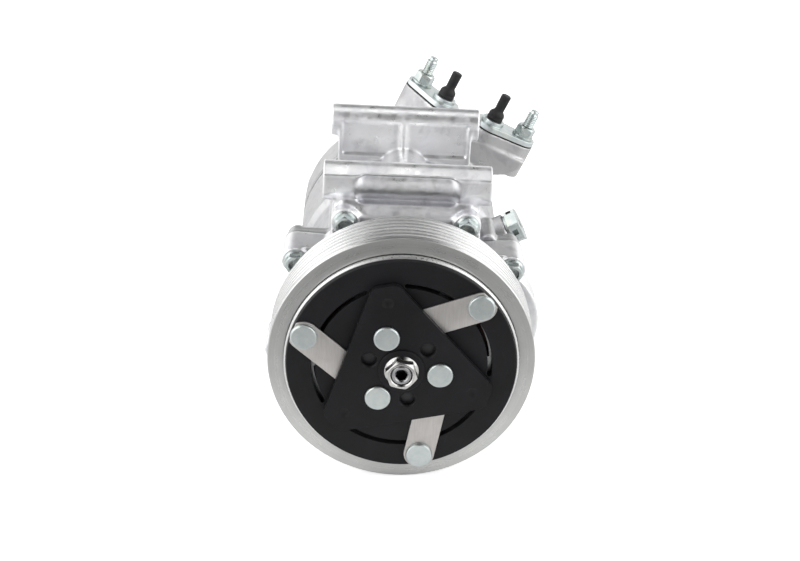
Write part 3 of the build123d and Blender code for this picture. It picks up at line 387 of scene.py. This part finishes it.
def smooth_verts(me, iterations, weight, factor=0.5):
    """Laplacian smoothing with a weight for each vertex, which rounds edges and fills inside corners."""
    n = len(me.vertices)
    v = np.zeros(n * 3, np.float64)
    me.vertices.foreach_get("co", v)
    v = v.reshape(-1, 3)
    e = np.zeros(len(me.edges) * 2, np.int64)
    me.edges.foreach_get("vertices", e)
    a, b = e[0::2], e[1::2]
    deg = np.bincount(a, minlength=n) + np.bincount(b, minlength=n)
    deg = np.maximum(deg, 1)
    w = weight(v)[:, None] * factor
    for _ in range(iterations):
        s = np.empty_like(v)
        for k in range(3):
            s[:, k] = np.bincount(a, weights=v[b, k], minlength=n) + np.bincount(b, weights=v[a, k], minlength=n)
        v = v + w * (s / deg[:, None] - v)
    me.vertices.foreach_set("co", v.astype(np.float32).ravel())
    me.update()
    return v


def blob(bm, kind, **k):
    """Adds one closed helper solid to a casting before it is skinned: kind 'cyl' between two points, 'ball', or 'hull' of points."""
    if kind == "cyl":
        p0, p1 = Vector(k["p0"]) * MM, Vector(k["p1"]) * MM
        d = p1 - p0
        m = Matrix.Translation((p0 + p1) / 2) @ d.to_track_quat("Z", "Y").to_matrix().to_4x4()
        bmesh.ops.create_cone(bm, cap_ends=True, segments=k.get("n", 48), radius1=k["r0"] * MM, radius2=k.get("r1", k["r0"]) * MM, depth=d.length, matrix=m)
    elif kind == "ball":
        bmesh.ops.create_uvsphere(bm, u_segments=32, v_segments=18, radius=k["r"] * MM, matrix=Matrix.Translation(Vector(k["c"]) * MM))
    elif kind == "hull":
        vs = [bm.verts.new(Vector(p) * MM) for p in k["pts"]]
        r = bmesh.ops.convex_hull(bm, input=vs)
        junk = [g for g in r["geom_interior"] + r["geom_unused"] if isinstance(g, bmesh.types.BMVert)]
        if junk:
            bmesh.ops.delete(bm, geom=junk, context="VERTS")


def casting(node, name, voxel, iterations, weight, extras=(), mat=None):
    """The node's solid skinned again with small voxels, then relaxed, so that walls flow into ribs and bosses as in a die casting."""
    bm = copy_bm(node)
    me = bpy.data.meshes.new(name)
    bm.to_mesh(me)
    bm.free()
    parts = [me]
    ob = link(name, me)
    if extras:
        bm = bmesh.new()
        bm.from_mesh(me)
        for kind, k in extras:
            blob(bm, kind, **k)
        bm.to_mesh(me)
        bm.free()
    md = ob.modifiers.new("skin", "REMESH")
    md.mode = "VOXEL"
    md.voxel_size = voxel * MM
    md.adaptivity = 0.0
    dg = bpy.context.evaluated_depsgraph_get()
    new = bpy.data.meshes.new_from_object(ob.evaluated_get(dg))
    ob.modifiers.clear()
    ob.data = new
    bpy.data.meshes.remove(me)
    new.name = name
    smooth_verts(new, iterations, weight)
    new.shade_smooth()
    return finish_piece(ob, node, mat)


# ------------------------------------------------------------------ castings
def step(x, a, b):
    t = np.clip((x - a) / (b - a), 0.0, 1.0)
    return t * t * (3 - 2 * t)


def w_front(v):
    x, y, z = v[:, 0] / MM, v[:, 1] / MM, v[:, 2] / MM
    r = np.hypot(x, z)
    w = np.ones(len(v))
    w *= 0.12 + 0.88 * step(np.abs(y - 56.0), 0.4, 1.8)          # joint face stays crisp
    w *= 0.25 + 0.75 * step(40.0 - np.abs(x), 0.2, 1.5)          # machined lug ends
    w *= 0.1 + 0.9 * step(r, 19.0, 24.0)                          # nose and bores
    return w


def w_block(v):
    x, y, z = v[:, 0] / MM, v[:, 1] / MM, v[:, 2] / MM
    r = np.hypot(x, z)
    w = np.ones(len(v))
    w *= 0.12 + 0.88 * step(y - 56.0, 0.4, 1.8)
    w *= 0.12 + 0.88 * step(152.0 - y, 0.4, 1.8)
    w *= 0.25 + 0.75 * step(38.0 - np.abs(x), 0.2, 1.5)
    w *= 0.2 + 0.8 * step(r, 46.5, 48.5)
    return w


def w_rear(v):
    x, y, z = v[:, 0] / MM, v[:, 1] / MM, v[:, 2] / MM
    n = x * sin(rad(23.0)) + z * cos(rad(23.0))
    w = np.ones(len(v))
    w *= 0.12 + 0.88 * step(y - 157.0, 0.4, 1.8)
    w *= 0.15 + 0.85 * step(68.8 - n, 0.3, 1.8)
    return w


VOX = 0.6
POCKET = []
for side in (-1, 1):
    for (xa, ra, xb, rb) in ((24.7, 9.45, 23.9, 9.2), (23.9, 9.2, 23.0, 8.7), (23.0, 8.7, 22.0, 8.3), (22.0, 8.3, 20.6, 8.0)):
        POCKET.append(("cyl", {"p0": (side * xa, 50.5, 69.0), "p1": (side * xb, 50.5, 69.0), "r0": ra, "r1": rb}))
casting("front_housing", "front_casting", VOX, 9, w_front, POCKET)
casting("cylinder_housing", "block_casting", VOX, 9, w_block, mat="cast_block")
casting("rear_head", "rear_casting", VOX, 9, w_rear, mat="cast_rear")


# ------------------------------------------------------------------ turned, pressed and plated pieces
refine("pulley", "pulley_rim", 0.14, 2, 25)
refine("armature_plate", "armature_disc", 0.18, 2, 25, "armature_black")
refine("hub_plate", "hub_triangle", 0.38, 3, 30)


def polar(r, a):
    return Vector((r * sin(rad(a)), 0.0, r * cos(rad(a))))


# each leaf is its own strip, picked out by the direction of its outer end
for k in range(3):
    outer, inner = polar(47.7, 47.2 + 120 * k), polar(18.0, -24.8 + 120 * k)
    bm = copy_bm("leaf_springs")
    seen, drop = set(), []
    for v0 in bm.verts:
        if v0 in seen:
            continue
        island, todo = [], [v0]
        seen.add(v0)
        while todo:
            v = todo.pop()
            island.append(v)
            for e in v.link_edges:
                w = e.other_vert(v)
                if w not in seen:
                    seen.add(w)
                    todo.append(w)
        far = max(island, key=lambda v: v.co.x ** 2 + v.co.z ** 2).co
        a = math.degrees(math.atan2(far.x, far.z))
        if abs((a - (47.2 + 120 * k) + 180) % 360 - 180) > 40:
            drop += island
    bmesh.ops.delete(bm, geom=drop, context="VERTS")
    bmesh.ops.dissolve_limit(bm, angle_limit=rad(1.0), verts=bm.verts, edges=bm.edges, delimit=set())
    edges = [e for e in bm.edges if len(e.link_faces) == 2 and e.calc_face_angle(0.0) > rad(40)]
    bmesh.ops.bevel(bm, geom=edges, offset=0.16 * MM, offset_type="OFFSET", segments=2, profile=0.6, affect="EDGES", clamp_overlap=True)
    # cross cuts along the strip between its two rivets
    d = (outer - inner).normalized()
    for i in range(1, 14):
        c = inner + (outer - inner) * (i / 14.0)
        bmesh.ops.bisect_plane(bm, geom=bm.verts[:] + bm.edges[:] + bm.faces[:], plane_co=c * MM, plane_no=d)
    bmesh.ops.triangulate(bm, faces=[f for f in bm.faces if len(f.verts) > 4])
    me = bpy.data.meshes.new("spring_leaf_%d" % (k + 1))
    bm.to_mesh(me)
    bm.free()
    me.shade_smooth()
    me.set_sharp_from_angle(angle=rad(40))
    ob = link("spring_leaf_%d" % (k + 1), me)
    ob.data.materials.clear()
    ob.data.materials.append(MATS[SLOT["leaf_springs"]])
    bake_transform(ob)
    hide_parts("leaf_springs")
refine("armature_rivets", "outer_rivet_heads", 0.22, 2, 30)
refine("hub_rivets", "inner_rivet_heads", 0.22, 2, 30)
refine("housing_bolts", "case_bolts", 0.25, 2, 25)
refine("head_bolts", "rear_bolts", 0.25, 2, 25)
refine("port_cover_plates", "cover_plates", 0.30, 2, 30)
refine("port_seals", "flat_seals", 0.08, 2, 30)
refine("port_nuts", "stud_nuts", 0.22, 2, 25)
refine("pressure_relief_valve", "relief_valve", 0.22, 2, 25)
refine("oil_plug", "oil_fill_plug", 0.25, 2, 25)
refine("control_valve", "control_valve_can", 0.25, 2, 25)
refine("coil_housing", "coil_can", 0.25, 2, 25)
refine("coil_lead", "coil_plug", 0.30, 2, 30)

# studs with a rolled thread, and moulded shipping plugs, both turned about their port axes
TILT, TOP = 23.0, 72.1
PORTS, STUDS = ((-7.7, 168.0), (21.7, 168.0)), ((-20.6, 180.0), (39.8, 168.0))


def port_matrix(t, y, n):
    x = t * cos(rad(TILT)) + n * sin(rad(TILT))
    z = -t * sin(rad(TILT)) + n * cos(rad(TILT))
    return Matrix.Translation(Vector((x, y, z)) * MM) @ Matrix.Rotation(rad(TILT), 4, "Y")


def lathe(bm, mat, prof, n=64, wave=None):
    """Closed turned solid from (radius, height) points; wave(radius, height, angle) may vary the radius round the axis."""
    rings = []
    for r, h in prof:
        row = []
        for i in range(n):
            a = 2 * math.pi * i / n
            q = wave(r, h, a) if wave else r
            row.append(bm.verts.new(mat @ (Vector((q * cos(a), q * sin(a), h)) * MM)))
        rings.append(row)
    for r0, r1 in zip(rings, rings[1:]):
        for i in range(n):
            j = (i + 1) % n
            bm.faces.new((r0[i], r0[j], r1[j], r1[i]))
    bm.faces.new(list(reversed(rings[0])))
    bm.faces.new(rings[-1])


def screw(pitch, depth, h0, h1):
    """Radius change of a 60 degree thread that fades in and out at its ends."""
    def wave(r, h, a):
        u = (h / pitch - a / (2 * math.pi)) % 1.0
        v = min(1.0, max(0.0, abs(u - 0.5) * 2.0 * 1.25 - 0.12))
        fade = min(1.0, max(0.0, (h - h0) / 0.6), max(0.0, (h1 - h) / 0.6)) if h0 < h < h1 else 0.0
        return r - depth * v * fade
    return wave


def piece(node, name, build, angle=35.0, mat=None):
    bm = bmesh.new()
    build(bm)
    bmesh.ops.recalc_face_normals(bm, faces=bm.faces)
    me = bpy.data.meshes.new(name)
    bm.to_mesh(me)
    bm.free()
    me.shade_smooth()
    me.set_sharp_from_angle(angle=rad(angle))
    return finish_piece(link(name, me), node, mat)


def make_studs(bm):
    prof = [(2.5, -14.0), (2.675, -13.8), (2.675, 6.2), (2.95, 6.45)]
    h = 6.5
    while h < 13.55:
        prof.append((2.985, h))
        h += 0.07
    prof += [(2.95, 13.6), (2.3, 14.15), (2.2, 14.3), (2.2, 15.5), (2.12, 15.7), (1.8, 15.98), (1.2, 16.0)]
    for k, (t, y) in enumerate(STUDS):
        lathe(bm, port_matrix(t, y, TOP) @ Matrix.Rotation(1.1 + 2.0 * k, 4, "Z"), prof, 56, screw(1.0, 0.40, 6.5, 13.7))


def make_plugs(bm):
    c0 = 2.23
    low = [(3.4, -8.0), (4.0, -6.2), (4.0, c0 - 0.02), (4.2, c0), (4.38, c0 + 0.3), (4.44, c0 + 1.0), (4.42, c0 + 1.6), (4.2, c0 + 1.85), (4.2, c0 + 2.0), (4.36, c0 + 2.2),
           (4.38, c0 + 3.0), (4.2, c0 + 3.6), (3.85, c0 + 4.15), (3.3, c0 + 4.7), (2.9, c0 + 5.15), (2.66, c0 + 5.5), (2.57, c0 + 5.9), (2.56, c0 + 6.6)]
    stem = [(2.60, 9.6), (2.62, 12.0), (2.66, 14.5), (2.70, 15.9), (2.68, 16.4), (2.55, 16.75), (2.25, 16.95), (1.5, 17.0)]

    def lobes(r, h, a):
        k = max(0.0, min(1.0, (h - c0) / 0.6)) * max(0.0, min(1.0, (c0 + 5.0 - h) / 2.0))
        return r * (1.0 - 0.035 * k * (0.5 - 0.5 * cos(5 * a)))

    for k, (t, y) in enumerate(PORTS):
        lean = Matrix.Rotation(0.6 + 1.3 * k, 4, "Z")
        lathe(bm, port_matrix(t, y, TOP) @ lean, low + stem, 60, lobes)


def ring_solid(bm, mat, loop, n=96, wave=None):
    """Closed ring turned from a closed loop of (radius, height) points."""
    rings = []
    for r, h in loop:
        rings.append([bm.verts.new(mat @ (Vector(((wave(r, h, 2 * math.pi * i / n) if wave else r) * cos(2 * math.pi * i / n),
                                                   (wave(r, h, 2 * math.pi * i / n) if wave else r) * sin(2 * math.pi * i / n), h)) * MM)) for i in range(n)])
    for a in range(len(rings)):
        r0, r1 = rings[a], rings[(a + 1) % len(rings)]
        for i in range(n):
            j = (i + 1) % n
            bm.faces.new((r0[i], r0[j], r1[j], r1[i]))


def nut_wave(r, h, a):
    """Hexagon with a turned chamfer above a conical flange; the bore is left round."""
    if r < 5.9:
        return r
    b = (a + math.pi / 6) % (math.pi / 3) - math.pi / 6
    flange = 8.2 if h < 0.75 else 8.2 - (h - 0.75) * 1.15
    chamfer = 7.62 if h < 4.75 else 7.62 - (h - 4.75) * 1.75
    return min(r, max(flange if h < 2.6 else 0.0, min(chamfer, 6.62 / cos(b))))


OUT = Matrix.Translation(Vector((0.0, -9.25, 0.0)) * MM) @ Matrix.Rotation(rad(90.0), 4, "X") @ Matrix.Rotation(rad(19.0), 4, "Z")


def make_nut(bm):
    loop = [(5.0, 0.0), (8.0, 0.0)] + [(9.0, 0.08 + 0.11 * i) for i in range(50)] + [(5.75, 5.62), (5.55, 5.6), (5.0, 5.05)]
    ring_solid(bm, OUT, loop, 96, nut_wave)


# painted shade: a thin black ring under the nut, wider than its flange, stands for the dark gap round the nut
def make_shade_ring(bm):
    ring_solid(bm, OUT, [(5.0, 0.0), (10.6, 0.0), (10.75, 0.12), (10.75, 0.62), (10.5, 0.85), (9.9, 0.95), (8.6, 0.98), (5.0, 0.98)], 96)


piece("shaft_nut", "nut_hexagon", make_nut, 30)
piece("shaft_nut", "nut_shade_ring", make_shade_ring, 30, "black_ecoat")
piece("port_studs", "threaded_studs", make_studs)
piece("port_plugs", "shipping_plugs", make_plugs, 50)

shown = {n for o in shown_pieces() for n in [o.get("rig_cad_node")] if n}
# painted shade: the clutch hub is given a near-black material in place of its own finish
DARK = {"clutch_hub": "hub_painted_shade"}
for n in shown:
    ob = NODES[n]
    if not ob.material_slots:
        ob.data.materials.append(MATS[DARK.get(n, SLOT[n])])
    for s in ob.material_slots:
        s.link = "OBJECT"
        s.material = MATS[DARK.get(n, SLOT[n])]

# ------------------------------------------------------------------ floor, light, camera
ROLL = rad(2.8)
UP = Vector((-sin(ROLL), 0.0, cos(ROLL)))
low = 1e9
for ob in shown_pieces():
    co = np.zeros(len(ob.data.vertices) * 3)
    ob.data.vertices.foreach_get("co", co)
    low = min(low, float((co.reshape(-1, 3) @ np.array(UP)).min()))

bm = bmesh.new()
bmesh.ops.create_grid(bm, x_segments=24, y_segments=24, size=4.0)
me = bpy.data.meshes.new("floor")
bm.to_mesh(me)
bm.free()
floor = link("floor", me)
floor.matrix_world = Matrix.Translation(UP * (low - 0.0004)) @ Matrix.Rotation(-ROLL, 4, "Y")
s = M("floor_paper")
g = s.noise(900, 4)
s.set(base=s.mix(s.ramp(s.noise(3, 2), 0.3, 0.7), (0.90, 0.90, 0.905), (0.93, 0.93, 0.93)), rough=0.85, spec=0.1, normal=s.bump(g, 0.05, 0.0002))
lp = s.n("ShaderNodeLightPath")
seen = lp.outputs["Is Camera Ray"]
pos = s.n("ShaderNodeSeparateXYZ", {"Vector": s.n("ShaderNodeNewGeometry").outputs["Position"]})
# painted shade in the floor as reflected and bounced: for non-camera rays it is darker further in front of the object
# near the middle line; camera rays see it evenly bright
near = s.ramp(pos.outputs[1], -0.26, -0.06)
wide = s.ramp(s.math("ABSOLUTE", pos.outputs[0]), 0.05, 0.24)
lit = s.math("ADD", 0.20, s.math("MULTIPLY", s.math("MAXIMUM", near, wide), 0.78))
lit = s.math("MAXIMUM", lit, seen)
s.put(s.p.inputs["Base Color"], s.mix(1.0, s.mix(s.ramp(s.noise(3, 2), 0.3, 0.7), (0.90, 0.90, 0.905), (0.93, 0.93, 0.93)), s.grey(lit), "MULTIPLY"))
# camera rays see an even glow; for other rays a faint painted glow lies close in front of the object
close = s.math("MULTIPLY", s.ramp(pos.outputs[1], -0.14, -0.03), s.math("SUBTRACT", 1.0, seen))
glow = s.math("ADD", s.math("MULTIPLY", seen, 0.62), s.math("MULTIPLY", close, 0.06))
s.put(s.p.inputs["Emission Color"], (1.0, 1.0, 1.0, 1.0))
s.put(s.p.inputs["Emission Strength"], glow)
floor.data.materials.append(s.m)

world = bpy.data.worlds.new("studio")
SCN.world = world
world.use_nodes = True
wt = world.node_tree
bg = wt.nodes["Background"]
tc = wt.nodes.new("ShaderNodeTexCoord")
sep = wt.nodes.new("ShaderNodeSeparateXYZ")
wt.links.new(tc.outputs["Generated"], sep.inputs[0])


def wmap(sock, a, b, c, d):
    nd = wt.nodes.new("ShaderNodeMapRange")
    nd.interpolation_type = "SMOOTHSTEP"
    wt.links.new(sock, nd.inputs[0])
    for i, v in zip((1, 2, 3, 4), (a, b, c, d)):
        nd.inputs[i].default_value = v
    return nd.outputs[0]


def wmath(op, a, b=None):
    nd = wt.nodes.new("ShaderNodeMath")
    nd.operation = op
    for i, v in enumerate((a, b)):
        if isinstance(v, bpy.types.NodeSocket):
            wt.links.new(v, nd.inputs[i])
        elif v is not None:
            nd.inputs[i].default_value = v
    return nd.outputs[0]


# behind the object a white sweep up to 20 degrees with a dimmer room above it; in front two wide soft panels with a dim gap at the camera
across = wmath("ABSOLUTE", sep.outputs[0])
side = wmap(across, 0.28, 0.60, 0.0, 1.45)
behind = wmath("MAXIMUM", wmap(sep.outputs[2], 0.22, 0.41, 1.20, 0.12), side)
panels = wmath("MAXIMUM", wmath("MULTIPLY", wmap(across, 0.12, 0.42, 0.06, 1.6), wmap(sep.outputs[2], 0.35, 0.75, 1.0, 0.15)), side)
front = wmap(sep.outputs[1], -0.35, 0.15, 1.0, 0.0)
mul = wmath("ADD", wmath("MULTIPLY", front, panels), wmath("MULTIPLY", wmath("SUBTRACT", 1.0, front), behind))
wt.links.new(mul, bg.inputs["Strength"])
bg.inputs["Color"].default_value = (1.0, 1.0, 1.0, 1.0)


def area(name, loc, target, size, power, size_y=None, color=(1, 1, 1)):
    li = bpy.data.lights.new(name, "AREA")
    li.energy = power
    li.size = size
    li.color = color
    if size_y:
        li.shape = "RECTANGLE"
        li.size_y = size_y
    ob = bpy.data.objects.new(name, li)
    ob.location = loc
    ob.rotation_euler = (Vector(target) - Vector(loc)).to_track_quat("-Z", "Y").to_euler()
    SCN.collection.objects.link(ob)
    return ob


area("top_box", (-0.05, 0.25, 1.10), (0, 0.06, 0.03), 0.55, 1.3, 0.55)
area("left_box", (-0.85, -0.05, 0.62), (0, 0.05, 0.02), 0.55, 1.5, 0.8)
area("right_box", (0.85, 0.05, 0.58), (0, 0.05, 0.02), 0.55, 1.5, 0.8)
area("front_fill", (0.10, -1.20, 0.45), (0, 0.03, 0.0), 0.7, 0.3, 0.35)

k = 62.5 / 63.33
EL, AZ, D = rad(25.71), rad(-0.49), 781 * k
T = Vector((-0.6 * k, 0.0, 42.2 * k))
back = Vector((sin(AZ) * cos(EL), -cos(AZ) * cos(EL), sin(EL)))
C = T + back * D
cxv = Vector((0, 0, 1)).cross(back).normalized()
cyv = back.cross(cxv)


def roll(v):
    return Vector((v.x * cos(ROLL) - v.z * sin(ROLL), v.y, v.z * cos(ROLL) + v.x * sin(ROLL)))


cam_data = bpy.data.cameras.new("camera")
cam_data.lens = 76.185
cam_data.sensor_width = 36.0
cam_data.clip_start = 0.01
cam_data.clip_end = 50.0
cam = bpy.data.objects.new("camera", cam_data)
SCN.collection.objects.link(cam)
mx = Matrix((roll(cxv), roll(cyv), roll(back))).transposed().to_4x4()
mx.translation = roll(C) * MM
cam.matrix_world = mx
SCN.camera = cam
SCN.view_settings.view_transform = "Standard"
SCN.view_settings.look = "None"
